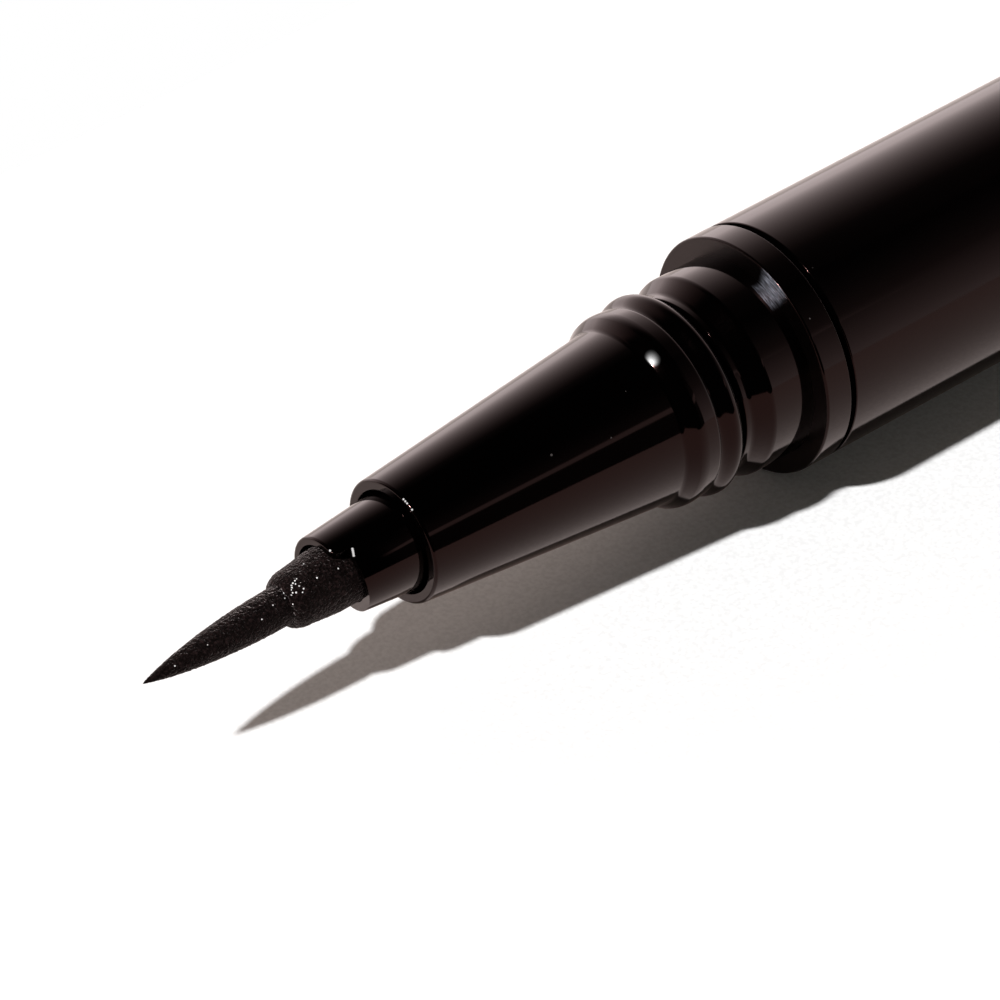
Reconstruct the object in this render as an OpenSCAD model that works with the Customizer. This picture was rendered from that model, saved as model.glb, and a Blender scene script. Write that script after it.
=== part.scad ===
// Liquid eyeliner pen that lies on its side with its cap taken off.
// The pen's axis is the X axis, the nib points along +X and +Z is up.
// The origin is the centre of the flat tail end, and lengths are in millimetres.

/* [Body] */
// Diameter of the barrel, the collar and the cap
body_d = 10.5; // [10:0.1:12]
// Length from the tail end to the collar face, where the cap stops
body_len = 94; // [85:1:110]
// Wall of the barrel
barrel_wall = 0.9; // [0.7:0.05:1.1]
// Length of the tail plug's head
tail_head_len = 1.2; // [0.8:0.1:2]
// Length of the tail plug inside the barrel
tail_stem_len = 6.5; // [5:0.5:9]
// Diameter of the mixing ball in the tank
ball_d = 3; // [2:0.1:3.6]

/* [Front section] */
// Length of the collar
collar_len = 1.44; // [1:0.02:2.2]
// Width of the collar face round the neck
collar_step = 0.84; // [0.82:0.02:1]
// Length of the sleeve inside the barrel
sleeve_len = 28; // [24:1:34]
// Wall of the sleeve
sleeve_wall = 0.7; // [0.6:0.05:0.9]
// Length of the neck in front of the collar, up to its round
neck_len = 1.75; // [1.2:0.05:2.2]
// Length of the neck's round down to the snap groove
neck_round_len = 0.95; // [0.6:0.05:1.2]
// Depth of the snap groove below the neck
groove_depth = 0.46; // [0.3:0.02:0.5]
// Length of the snap groove's floor
groove_len = 0.8; // [0.5:0.05:1]
// Length of the rear bead, which holds the cap
bead_len = 1.2; // [1:0.05:1.6]
// Height of the rear bead above the neck
bead_rise = 0.02; // [0:0.01:0.05]
// Depth of the hollow between the beads below the rear bead
hollow_depth = 0.34; // [0.2:0.02:0.44]
// Length of the front bead
front_bead_len = 1.45; // [1.2:0.05:1.8]
// Height of the front bead above the hollow
front_bead_rise = 0.16; // [0.1:0.01:0.2]
// Length of the cone from its foot to its rim
cone_len = 12.31; // [10:0.01:14]
// Width of the step from the hollow between the beads down to the cone's foot
cone_step = 0.25; // [0.2:0.01:0.35]
// Diameter of the cone at its rim
cone_tip_d = 5.4; // [5.2:0.02:5.6]

/* [Nib] */
// Length of the nib holder in front of the cone's rim
holder_len = 3.54; // [3:0.02:4.4]
// Diameter of the nib holder at its front edge
holder_tip_d = 3.6; // [3.5:0.02:3.8]
// Length of the lip that stands out from one half of the holder's front edge
lip_len = 0.95; // [0.6:0.05:1.2]
// Turn of the lip's near end from the top of the pen towards its +Y side
lip_turn = 25; // [0:1:60]
// Tilt of the cut-back half of the holder's front edge
lip_tilt = 9; // [0:1:12]
// Diameter of the nib where it leaves the holder
nib_d = 2.76; // [2.5:0.02:2.9]
// Diameter of the nib at its shoulder
shoulder_d = 2.46; // [2.3:0.02:2.6]
// Length of the nib's thick base in front of the holder
nib_base_len = 2.35; // [1.8:0.05:3]
// Diameter of the nib's slender point at its root
point_d = 1.66; // [1.4:0.02:1.9]
// Length of the nib's slender point
point_len = 6.8; // [5:0.1:8]
// Droop of the nib in front of the cone's rim
nib_droop = 1.35; // [0:0.05:1.6]
// Turn of the droop from straight down towards the pen's +Y side
droop_turn = 47; // [0:1:90]

/* [Ink feed] */
// Number of fins on the collector behind the collar
rear_fins = 19; // [12:1:22]
// Number of fins on the collector inside the cone
front_fins = 6; // [4:1:7]
// Thickness of a fin
fin_len = 0.45; // [0.3:0.05:0.6]
// Diameter of the collector's core
core_d = 3.4; // [3:0.1:4]
// Width of the air channel along the top of the fins
air_channel = 0.9; // [0.6:0.1:1.4]
// Width of the ink slit under the core
ink_slit = 0.3; // [0.2:0.05:0.5]
// Diameter of the feed rod
rod_d = 1.8; // [1.4:0.05:2]

/* [Cap] */
// Length of the cap
cap_len = 44; // [42:1:50]
// Wall of the cap
cap_wall = 0.73; // [0.6:0.01:0.76]
// Thickness of the cap's closed end
cap_end_len = 1.2; // [0.9:0.1:2]
// Distance from the nib's tip to the mouth of the cap that lies in front of it
cap_apart = 30; // [20:1:45]
// Wall of the inner cap
inner_cap_wall = 0.55; // [0.45:0.05:0.6]
// Length of the tapered seal in the inner cap's mouth
seal_len = 1.9; // [1.5:0.1:2.4]
// Coils of the spring behind the inner cap
spring_coils = 6; // [5:1:7]
// Diameter of the spring's wire
spring_wire_d = 0.4; // [0.3:0.05:0.5]
// Travel of the inner cap against its spring
inner_cap_travel = 1.2; // [0.8:0.1:1.6]

/* [Hidden] */
$fn = 96;

// Clearances between pieces that are pushed together, that slide, and that lie loose
press_gap = 0.02;
slide_gap = 0.05;
loose_gap = 0.1;
// Overrun of every cut
overrun = 1;
// Chamfer of the crisp outer edges
edge = 0.05;
// Straight steps in each rounded stretch of an outline
arc_steps = 12;

// Radii and places of the body
body_r = body_d / 2;
tank_r = body_r - barrel_wall;
collar_back_x = body_len - collar_len;

// Narrow dark groove between the barrel and the collar
parting_len = 0.15;
parting_depth = 0.3;

// Places and radii along the front section, all from the collar face outwards
neck_r = body_r - collar_step;
root_depth = 0.04;
root_fillet = 0.08;
groove_r = neck_r - groove_depth;
bead_r = neck_r + bead_rise;
hollow_r = bead_r - hollow_depth;
front_bead_r = hollow_r + front_bead_rise;
groove_x = body_len + neck_len + neck_round_len;
bead_x = groove_x + groove_len;
bead_top_share = 0.48;
bead_top_x = bead_x + bead_len * bead_top_share;
hollow_x = bead_x + bead_len;
front_top_share = 0.5;
front_top_x = hollow_x + front_bead_len * front_top_share;
cone_x = hollow_x + front_bead_len;
rim_x = cone_x + cone_len;
crease_depth = 0.08;
cone_base_r = hollow_r - cone_step;
cone_tip_r = cone_tip_d / 2;

// Sleeve of the front section, and the sealing ring in a groove that leaves part of its wall
sleeve_r = tank_r - press_gap;
sleeve_x = collar_back_x - sleeve_len;
rear_bore_r = sleeve_r - sleeve_wall;
ring_floor_wall = 0.25;
ring_groove_depth = sleeve_wall - ring_floor_wall;
ring_wire_r = (ring_groove_depth - press_gap) / 2;
ring_groove_len = 2 * (ring_wire_r + loose_gap);
front_ring_x = collar_back_x - 4 * ring_groove_len;
tail_ring_x = tail_head_len + tail_stem_len / 2;
ring_r = tank_r - press_gap - ring_wire_r;

// Bores of the front section: the collector's, the holder's socket and the recess inside the rim
cone_wall = 0.65;
front_bore_r = cone_base_r - cone_wall;
bore_step_x = body_len + press_gap;
front_bore_end_share = 0.17;
front_bore_end_x = cone_x + cone_len * front_bore_end_share;
rim_wall = 0.45;
rim_hole_r = cone_tip_r - rim_wall;
recess_gap = 0.14;
recess_depth = 1.3;
shank_r = rim_hole_r - recess_gap;
socket_r = shank_r + press_gap;
socket_x = front_bore_end_x + front_bore_r - socket_r;
recess_x = rim_x - recess_depth;

// Nib holder and nib
holder_front_x = rim_x + holder_len;
holder_tip_r = holder_tip_d / 2;
holder_slope = (shank_r - holder_tip_r) / holder_len;
nib_r = nib_d / 2;
nib_bore_r = nib_r + press_gap;
mouth_play = holder_len * tan(nib_droop) + press_gap;
mouth_r = nib_r + mouth_play;
holder_back_x = socket_x + loose_gap;
step_x = holder_front_x - lip_len;
lip_corner = 0.35;
nib_back_x = holder_back_x + nib_r;
waist_depth = 0.1;
shoulder_len = 0.85;
point_x = holder_front_x + nib_base_len;
shoulder_x = point_x - shoulder_len;
point_power = 0.85;
tip_x = point_x + point_len;

// Collector, feed rod, ball seat and ball
core_r = core_d / 2;
rod_r = rod_d / 2;
seat_flange_len = 0.8;
seat_len = 3;
seat_lip_len = 0.6;
seat_bore_r = ball_d / 2 + loose_gap;
collector_x = sleeve_x + seat_len + loose_gap;
ball_r = ball_d / 2;
ball_x_share = 0.38;
ball_x = body_len * ball_x_share;
ball_z = ball_r + slide_gap - tank_r;

// Cap, inner cap and spring, placed as if closed and then moved out in front of the nib
cap_shift = tip_x + cap_apart - body_len;
cap_bore_r = body_r - cap_wall;
cap_land_r = bead_r + slide_gap;
cap_floor_x = body_len + cap_len - cap_end_len;
cap_round = 0.6;
lip_x = cone_x + press_gap;
inner_bore_x = lip_x + seal_len;
inner_bore_r = cone_r(inner_bore_x) + slide_gap;
inner_cap_r = inner_bore_r + inner_cap_wall;
guide_r = cap_bore_r - slide_gap;
guide_len = 1;
guide_x = inner_bore_x + 2 * guide_len;
stop_r = inner_cap_r + slide_gap;
inner_cap_end_x = tip_x + 2 * guide_len;
inner_cap_back_x = inner_cap_end_x + 2 * inner_cap_wall;
rear_guide_x = inner_cap_end_x - 2 * guide_len;
spring_wire_r = spring_wire_d / 2;
spring_r = inner_cap_r / 2 + spring_wire_r;
spring_x = inner_cap_back_x + spring_wire_r + press_gap;
spring_len = cap_floor_x - spring_x - spring_wire_r - press_gap;
boss_len = (cap_floor_x - inner_cap_back_x - inner_cap_travel) / 3;
rings_per_coil = 8;
wire_sides = 6;

// Boss inside the coil, clear of the straight stretches between the wire's rings
boss_r = (spring_r - spring_wire_r) * cos(180 / rings_per_coil) - loose_gap;

// Least gap between two coils, wire to wire, when the inner cap is pushed right back
coil_gap = (spring_len - inner_cap_travel) / spring_coils - spring_wire_d;
echo(least_gap_between_coils = coil_gap);

// Radius of the cone's surface at a place along the axis
function cone_r(x) = cone_base_r + (cone_tip_r - cone_base_r) * (x - cone_x) / cone_len;

// Points of a quarter round that leaves the radius r0 level at x0 and ends steep at the radius r1 and x1
function round_down(x0, x1, r0, r1) = [
    for (i = [0:arc_steps])
        let (a = 90 * i / arc_steps)
        [r1 + (r0 - r1) * cos(a), x0 + (x1 - x0) * sin(a)]
];

// Points of a quarter round that starts steep at the radius r0 and x0 and ends level at r1 and x1
function round_up(x0, x1, r0, r1) = [
    for (i = [0:arc_steps])
        let (a = 90 * i / arc_steps)
        [r0 + (r1 - r0) * sin(a), x1 - (x1 - x0) * cos(a)]
];

// Points of a wave that is level at both its ends
function wave(x0, x1, r0, r1) = [
    for (i = [0:arc_steps])
        let (t = i / arc_steps)
        [(r0 + r1) / 2 + (r0 - r1) / 2 * cos(180 * t), x0 + (x1 - x0) * t]
];

// Points of an outer round of radius size that ends at the radius r and the place x
function outer_round(x, r, size) = [
    for (i = [0:arc_steps])
        let (a = 90 * i / arc_steps)
        [r - size + size * cos(a), x - size + size * sin(a)]
];

// Turns an outline of [radius, place] points round the X axis
module turned(outline) {
    rotate([0, 90, 0])
        rotate_extrude()
            polygon(outline);
}

// Rubber ring round the axis at the place x
module seal_ring(x) {
    rotate([0, 90, 0])
        rotate_extrude()
            translate([ring_r, x])
                circle(r = ring_wire_r, $fn = 32);
}

module barrel() {
    color([0.08, 0.06, 0.06])
        turned([
            [tank_r, tail_head_len],
            [body_r - edge, tail_head_len],
            [body_r, tail_head_len + edge],
            [body_r, collar_back_x - edge],
            [body_r - edge, collar_back_x],
            [tank_r, collar_back_x]
        ]);
}

// Groove in a plug or sleeve of radius r, for the ring at the place x
function ring_groove(x, r) = [
    [r, x - ring_groove_len / 2],
    [r - ring_groove_depth, x - ring_groove_len / 2],
    [r - ring_groove_depth, x + ring_groove_len / 2],
    [r, x + ring_groove_len / 2]
];

module tail_plug() {
    stem_end_x = tail_head_len + tail_stem_len;
    hollow_r = sleeve_r - ring_groove_depth - sleeve_wall;
    color([0.08, 0.06, 0.06])
        turned(concat(
            [[0, 0], [body_r - 2 * edge, 0], [body_r, 2 * edge], [body_r, tail_head_len - edge]],
            [[body_r - edge, tail_head_len], [sleeve_r, tail_head_len]],
            ring_groove(tail_ring_x, sleeve_r),
            [[sleeve_r, stem_end_x - edge], [sleeve_r - edge, stem_end_x], [hollow_r, stem_end_x]],
            [[hollow_r, 2 * tail_head_len], [0, 2 * tail_head_len]]
        ));
}

module tail_seal() {
    color([0.16, 0.16, 0.17])
        seal_ring(tail_ring_x);
}

module front_section() {
    parting_r = body_r - parting_depth;
    root_r = neck_r - root_depth;
    color([0.08, 0.06, 0.06])
        turned(concat(
            [[rear_bore_r, sleeve_x], [sleeve_r - edge, sleeve_x], [sleeve_r, sleeve_x + edge]],
            ring_groove(front_ring_x, sleeve_r),
            [[sleeve_r, collar_back_x], [parting_r, collar_back_x], [parting_r, collar_back_x + parting_len]],
            [[body_r - edge, collar_back_x + parting_len], [body_r, collar_back_x + parting_len + edge]],
            [[body_r, body_len - edge], [body_r - edge, body_len], [root_r + root_fillet, body_len]],
            [[root_r, body_len + root_fillet]],
            round_down(body_len + neck_len, groove_x, neck_r, groove_r),
            round_up(bead_x, bead_top_x, groove_r, bead_r),
            wave(bead_top_x, hollow_x, bead_r, hollow_r),
            wave(hollow_x, front_top_x, hollow_r, front_bead_r),
            round_down(front_top_x, cone_x, front_bead_r, cone_base_r - crease_depth),
            [[cone_base_r, cone_x]],
            [[cone_tip_r, rim_x - edge], [cone_tip_r - edge, rim_x], [rim_hole_r, rim_x]],
            [[rim_hole_r, recess_x], [socket_r, recess_x], [socket_r, socket_x]],
            [[front_bore_r, front_bore_end_x], [front_bore_r, bore_step_x], [rear_bore_r, bore_step_x]]
        ));
}

module front_seal() {
    color([0.16, 0.16, 0.17])
        seal_ring(front_ring_x);
}

// Solid rod of radius r along the X axis from x0 to x1
module rod(x0, x1, r) {
    translate([x0, 0, 0])
        rotate([0, 90, 0])
            cylinder(h = x1 - x0, r = r);
}

// Row of fins that starts at x0, with the last fin ending at x1
module fins(x0, x1, count, r) {
    pitch = (x1 - x0 - fin_len) / (count - 1);
    for (i = [0:count - 1])
        rod(x0 + i * pitch, x0 + i * pitch + fin_len, r);
}

module collector() {
    nose_x = socket_x - loose_gap;
    front_fins_x = bore_step_x + fin_len;
    slit_depth = rear_bore_r - rod_r;
    color([0.85, 0.85, 0.82])
        difference() {
            union() {
                rod(collector_x, nose_x, core_r);
                fins(collector_x, bore_step_x - loose_gap, rear_fins, rear_bore_r - press_gap);
                fins(front_fins_x, front_bore_end_x - loose_gap, front_fins, front_bore_r - press_gap);
            }
            rod(collector_x - overrun, nose_x + overrun, rod_r + slide_gap);
            translate([collector_x + fin_len, -air_channel / 2, core_r - fin_len / 2])
                cube([nose_x - collector_x, air_channel, rear_bore_r]);
            translate([collector_x - overrun, -ink_slit / 2, -rear_bore_r])
                cube([nose_x - collector_x + 2 * overrun, ink_slit, slit_depth]);
        }
}

module ball_seat() {
    seat_end_x = sleeve_x + seat_len;
    color([0.75, 0.75, 0.72])
        turned([
            [seat_bore_r, sleeve_x - seat_flange_len],
            [sleeve_r - edge, sleeve_x - seat_flange_len],
            [sleeve_r - edge, sleeve_x],
            [rear_bore_r - press_gap, sleeve_x],
            [rear_bore_r - press_gap, seat_end_x],
            [rod_r + slide_gap, seat_end_x],
            [rod_r + slide_gap, seat_end_x - seat_lip_len],
            [seat_bore_r, seat_end_x - seat_lip_len]
        ]);
}

module feed_rod() {
    color([0.9, 0.88, 0.84])
        rod(sleeve_x + seat_len / 2, nib_back_x, rod_r);
}

module mixing_ball() {
    color([0.7, 0.7, 0.72])
        translate([ball_x, 0, ball_z])
            sphere(r = ball_r);
}

// Block that cuts back half of the holder's front edge and leaves the other half as a lip
module lip_cutter() {
    reach = 2 * shank_r;
    translate([step_x, 0, 0])
        rotate([0, lip_tilt, 0])
            translate([0, 0, -reach])
                cube([lip_len + reach, reach, 2 * reach]);
    translate([0, 0, -reach])
        linear_extrude(height = 2 * reach)
            difference() {
                translate([holder_front_x - lip_corner, -lip_corner])
                    square([lip_corner + overrun, 2 * lip_corner]);
                translate([holder_front_x - lip_corner, -lip_corner])
                    circle(r = lip_corner);
            }
}

module nib_holder() {
    color([0.09, 0.07, 0.07])
        difference() {
            turned([
                [nib_bore_r, holder_back_x],
                [shank_r - edge, holder_back_x],
                [shank_r, holder_back_x + edge],
                [shank_r, rim_x],
                [holder_tip_r + edge * holder_slope, holder_front_x - edge],
                [holder_tip_r - edge, holder_front_x],
                [mouth_r, holder_front_x],
                [mouth_r, rim_x],
                [nib_bore_r, rim_x - mouth_play]
            ]);
            rotate([-lip_turn, 0, 0])
                lip_cutter();
        }
}

// Thick base and slender point of the nib, straight along the X axis, from a slight waist inside the holder
module nib_front() {
    waist_r = nib_r - waist_depth;
    turned(concat(
        [[0, rim_x - edge], [waist_r, rim_x - edge], [nib_r, holder_front_x]],
        round_down(shoulder_x, point_x, shoulder_d / 2, point_d / 2),
        [for (i = [0:2 * arc_steps])
            let (t = i / (2 * arc_steps))
            [point_d / 2 * pow(1 - t * t, point_power), point_x + point_len * t]]
    ));
}

module nib() {
    color([0.1, 0.07, 0.07]) {
        turned([
            [0, nib_back_x],
            [nib_r - edge, nib_back_x],
            [nib_r, nib_back_x + edge],
            [nib_r, rim_x],
            [0, rim_x]
        ]);
        translate([rim_x, 0, 0])
            rotate([droop_turn, 0, 0])
                rotate([0, nib_droop, 0])
                    translate([-rim_x, 0, 0])
                        nib_front();
    }
}

module cap_shell() {
    cap_end_x = body_len + cap_len;
    color([0.08, 0.06, 0.06])
        translate([cap_shift, 0, 0])
            turned(concat(
                [[cap_land_r + edge, body_len], [body_r - edge, body_len], [body_r, body_len + edge]],
                outer_round(cap_end_x, body_r, cap_round),
                [[0, cap_end_x], [0, cap_floor_x - boss_len], [boss_r - edge, cap_floor_x - boss_len]],
                [[boss_r, cap_floor_x - boss_len + edge], [boss_r, cap_floor_x], [cap_bore_r, cap_floor_x]],
                [[cap_bore_r, guide_x - slide_gap], [stop_r, guide_x - slide_gap]],
                [[stop_r, guide_x - guide_len], [cap_bore_r, guide_x - guide_len - cap_bore_r + stop_r]],
                [[cap_bore_r, bead_x + edge], [cap_land_r, bead_x], [cap_land_r, body_len + edge]]
            ));
}

module inner_cap() {
    color([0.82, 0.8, 0.78])
        translate([cap_shift, 0, 0])
            turned([
                [cone_r(lip_x) + slide_gap, lip_x],
                [inner_cap_r - edge, lip_x],
                [inner_cap_r, lip_x + edge],
                [inner_cap_r, guide_x],
                [guide_r, guide_x],
                [guide_r, guide_x + guide_len],
                [inner_cap_r, guide_x + guide_len],
                [inner_cap_r, rear_guide_x],
                [guide_r, rear_guide_x],
                [guide_r, rear_guide_x + guide_len],
                [inner_cap_r, rear_guide_x + guide_len],
                [inner_cap_r, inner_cap_back_x - edge],
                [inner_cap_r - edge, inner_cap_back_x],
                [0, inner_cap_back_x],
                [0, inner_cap_end_x],
                [inner_bore_r, inner_cap_end_x],
                [inner_bore_r, inner_bore_x]
            ]);
}

// Corners of the ring of wire at step i of the coil, in the plane through the axis and the wire
function wire_ring(i) = [
    for (k = [0:wire_sides - 1])
        let (
            turn = 360 * i / rings_per_coil,
            a = 360 * k / wire_sides,
            r = spring_r + spring_wire_r * cos(a),
            x = spring_x + spring_len * i / (spring_coils * rings_per_coil) + spring_wire_r * sin(a)
        )
        [x, r * cos(turn), r * sin(turn)]
];

module cap_spring() {
    rings = spring_coils * rings_per_coil;
    corners = [for (i = [0:rings]) each wire_ring(i)];
    sides = [
        for (i = [0:rings - 1], k = [0:wire_sides - 1])
            let (
                a = i * wire_sides + k,
                b = i * wire_sides + (k + 1) % wire_sides
            )
            each [[a, b, b + wire_sides], [a, b + wire_sides, a + wire_sides]]
    ];
    first_end = [for (k = [1:wire_sides - 2]) [0, k + 1, k]];
    last_end = [for (k = [1:wire_sides - 2]) [0, k, k + 1] + rings * wire_sides * [1, 1, 1]];
    color([0.75, 0.76, 0.78])
        translate([cap_shift, 0, 0])
            polyhedron(points = corners, faces = concat(sides, first_end, last_end));
}

barrel();
tail_plug();
tail_seal();
front_section();
front_seal();
collector();
ball_seat();
feed_rod();
mixing_ball();
nib_holder();
nib();
cap_shell();
inner_cap();
cap_spring();
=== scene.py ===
"""Looks of a slim liquid eyeliner pen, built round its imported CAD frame, in metres.

The pen lies along the X axis with its nib towards +X, its tail end at the origin and its cap taken off.
"""

import math

import bmesh
import bpy
from mathutils import Matrix, Vector, noise


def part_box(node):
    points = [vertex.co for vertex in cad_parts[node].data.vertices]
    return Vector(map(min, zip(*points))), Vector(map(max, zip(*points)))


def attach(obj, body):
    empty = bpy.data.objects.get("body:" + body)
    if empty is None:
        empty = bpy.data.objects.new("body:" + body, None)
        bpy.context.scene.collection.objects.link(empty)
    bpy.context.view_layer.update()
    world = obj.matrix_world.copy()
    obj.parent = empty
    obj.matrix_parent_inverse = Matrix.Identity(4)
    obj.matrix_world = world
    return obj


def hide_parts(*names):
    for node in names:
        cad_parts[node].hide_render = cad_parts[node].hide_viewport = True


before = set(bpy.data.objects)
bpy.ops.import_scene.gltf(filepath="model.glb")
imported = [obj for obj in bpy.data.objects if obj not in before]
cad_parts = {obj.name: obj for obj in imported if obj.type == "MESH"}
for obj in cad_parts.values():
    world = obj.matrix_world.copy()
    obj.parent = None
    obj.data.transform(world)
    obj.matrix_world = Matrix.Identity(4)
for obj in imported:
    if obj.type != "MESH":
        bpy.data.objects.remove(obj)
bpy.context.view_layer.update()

bl_info = {
    "name": "Liquid eyeliner pen",
    "version": (1, 0, 0),
    "blender": (4, 5, 0),
    "location": "View3D > Sidebar > Eyeliner pen",
    "description": "Models the pieces of a liquid eyeliner pen and the table it lies on",
    "category": "Add Mesh",
}

# Shapes are turned in millimetres, where Blender's bevel is exact, and then scaled to metres
MM = 0.001
# Steps round a turned piece, and in each rounded corner of its outline
TURN_STEPS = 160
CORNER_STEPS = 4
# Steps along a curved stretch of an outline
CURVE_STEPS = 16
# Distances in millimetres at which a point is on the axis, and at which two points are one
ON_AXIS = 1e-6
WELD = 1e-5

# Clearances, as in the CAD, between pieces that are pushed together and that slide
PRESS_GAP = 0.02 * MM
SLIDE_GAP = 0.05 * MM
# Rounding of the creases between the bands of the front section
CREASE = 0.1 * MM

# Camera, solved from the round edges of the collar and the cone in the photograph
CAMERA_PLACE = (0.260385, 0.181191, 0.192029)
CAMERA_LOOK = (-0.50185, -0.59231, -0.63032)
CAMERA_LENS = 276.06
# Direction towards the key light, found from its glints
TOWARD_KEY = (0.654, 0.0, 0.756)

# Sockets of a Mix node by number, because several share a name: both inputs and the result
MIX_VALUES = (2, 3, 0)
MIX_COLOURS = (6, 7, 2)


def length(name, description, default):
    """A length in metres that the sidebar shows in the scene's unit."""
    return bpy.props.FloatProperty(
        name=name, description=description, default=default, min=0.0, unit="LENGTH", precision=5
    )


def angle(name, description, default):
    """An angle, given in degrees, that the sidebar shows in the scene's unit."""
    return bpy.props.FloatProperty(
        name=name, description=description, default=math.radians(default), subtype="ANGLE", unit="ROTATION"
    )


def tint(name, description, default):
    """A colour that the sidebar shows as a swatch."""
    return bpy.props.FloatVectorProperty(
        name=name, description=description, default=default, min=0.0, max=1.0, size=3, subtype="COLOR"
    )


def factor(name, description, default, most=1.0):
    """A plain number from zero up to its most."""
    return bpy.props.FloatProperty(name=name, description=description, default=default, min=0.0, max=most)


class EyelinerSizes(bpy.types.PropertyGroup):
    """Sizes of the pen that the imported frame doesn't give by itself."""

    edge: length("Edge", "Rounding of the crisp outer edges", 0.045 * MM)
    barrel_wall: length("Barrel wall", "Wall of the barrel", 0.9 * MM)
    parting_length: length("Parting length", "Length of the dark groove behind the collar", 0.17 * MM)
    barrel_gap: length("Barrel gap", "How far the barrel's front edge stays behind the groove", 0.13 * MM)
    collar_round: length("Collar round", "Rounding of the collar's front edge", 0.09 * MM)
    parting_depth: length("Parting depth", "Depth of the dark groove behind the collar", 0.3 * MM)
    collar_length: length("Collar length", "Length of the collar in front of the barrel", 1.44 * MM)
    sleeve_wall: length("Sleeve wall", "Wall of the sleeve inside the barrel", 0.7 * MM)
    neck_radius: length("Neck radius", "Radius of the neck at its front end", 4.41 * MM)
    neck_root_radius: length("Neck root radius", "Radius of the neck at the collar", 4.395 * MM)
    neck_length: length("Neck length", "Length of the neck up to its flank", 2.1 * MM)
    neck_flank: length("Neck flank", "Length of the flank from the neck down to the groove", 0.76 * MM)
    groove_radius: length("Groove radius", "Radius of the snap groove's ledge", 3.935 * MM)
    groove_length: length("Groove length", "Length of the snap groove's ledge", 0.34 * MM)
    slot_radius: length("Slot radius", "Radius of the slot's floor behind the rear bead", 3.55 * MM)
    slot_length: length("Slot length", "Length of the slot behind the rear bead", 0.5 * MM)
    bead_radius: length("Bead radius", "Radius of the rear bead's crown", 4.425 * MM)
    bead_length: length("Bead length", "Length of the rear bead", 1.06 * MM)
    hollow_radius: length("Hollow radius", "Radius of the hollow between the beads", 4.125 * MM)
    front_bead_radius: length("Front bead radius", "Radius of the front bead's crown", 4.256 * MM)
    front_bead_length: length("Front bead length", "Length of the front bead", 1.56 * MM)
    front_bead_back: length("Front bead back", "Radius of the front bead next to the hollow", 4.215 * MM)
    flank_radius: length("Flank radius", "Radius at which the front bead's flank starts", 4.187 * MM)
    cone_foot_radius: length("Cone foot radius", "Radius of the cone at its foot", 3.827 * MM)
    cone_rim_radius: length("Cone rim radius", "Radius of the cone at its rim", 2.7 * MM)
    cone_rim_round: length("Cone rim round", "Rounding of the cone's rim", 0.11 * MM)
    cone_wall: length("Cone wall", "Wall of the cone at its foot", 0.65 * MM)
    rim_hole_radius: length("Rim hole radius", "Radius of the recess inside the rim", 2.25 * MM)
    rim_hole_depth: length("Rim hole depth", "Depth of the recess inside the rim", 1.3 * MM)
    shank_radius: length("Shank radius", "Radius of the nib holder inside the rim", 2.11 * MM)
    holder_radius: length("Holder radius", "Radius of the nib holder at its front edge", 1.8 * MM)
    mouth_radius: length("Mouth radius", "Radius of the nib holder's mouth", 1.483 * MM)
    lip_length: length("Lip length", "Length of the lip on one half of the holder's front edge", 0.95 * MM)
    lip_corner: length("Lip corner", "Rounding of the lip's corners", 0.35 * MM)
    lip_turn: angle("Lip turn", "Turn of the lip's near end from the top towards +Y", 25)
    lip_tilt: angle("Lip tilt", "Tilt of the cut-back half of the holder's front edge", 9)
    nib_radius: length("Nib radius", "Radius of the nib where it leaves its holder", 1.38 * MM)
    shoulder_radius: length("Shoulder radius", "Radius of the nib at its shoulder", 1.23 * MM)
    shoulder_length: length("Shoulder length", "Length of the nib's round shoulder", 0.85 * MM)
    nib_base_length: length("Nib base length", "Length of the nib's base in front of the holder", 2.2 * MM)
    point_radius: length("Point radius", "Radius of the nib's slender point at its root", 0.83 * MM)
    point_length: length("Point length", "Length of the nib's slender point", 6.95 * MM)
    nib_droop: angle("Nib droop", "Droop of the nib in front of the cone's rim", 1.35)
    droop_turn: angle("Droop turn", "Turn of the droop from straight down towards +Y", 47)
    cap_wall: length("Cap wall", "Wall of the cap", 0.73 * MM)
    cap_end: length("Cap end", "Thickness of the cap's closed end", 1.2 * MM)
    cap_round: length("Cap round", "Rounding of the cap's closed end", 0.6 * MM)
    stop_length: length("Stop length", "Length of the ring that stops the inner cap", 0.95 * MM)
    boss_radius: length("Boss radius", "Radius of the boss that centres the spring", 1.87 * MM)
    boss_length: length("Boss length", "Length of the boss that centres the spring", 2.45 * MM)
    inner_cap_wall: length("Inner cap wall", "Wall of the inner cap", 0.55 * MM)
    inner_cap_setback: length("Inner cap setback", "How far its mouth clears the front bead", 0.2 * MM)
    seal_length: length("Seal length", "Length of the tapered seal in its mouth", 1.9 * MM)
    seal_taper: length("Seal taper", "How much the seal narrows over its length", 0.18 * MM)
    guide_length: length("Guide length", "Length of its guide rings", 1.0 * MM)


class EyelinerFinishes(bpy.types.PropertyGroup):
    """Colours and finishes of the pen's plastics and felt."""

    black: tint("Black", "Colour of the black mouldings", (0.0003, 0.0002, 0.0002))
    sheen_tint: tint("Reflection tint", "Tint of the black mouldings' reflections", (0.35, 0.185, 0.17))
    index: factor("Index", "Refractive index of the black mouldings", 1.5, 3.0)
    polish: factor("Roughness", "Roughness of the black mouldings", 0.06)
    scratches: factor("Scratches", "Strength of the scratches on the black mouldings", 0.25)
    dust: tint("Dust", "Colour of the dust specks", (0.05, 0.046, 0.046))
    felt: tint("Felt", "Colour of the felt nib", (0.0007, 0.0004, 0.0004))
    milky: tint("Milky plastic", "Colour of the inner cap and the collector", (0.80, 0.78, 0.74))
    steel: tint("Steel", "Colour of the spring and the ball", (0.70, 0.70, 0.71))


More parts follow.
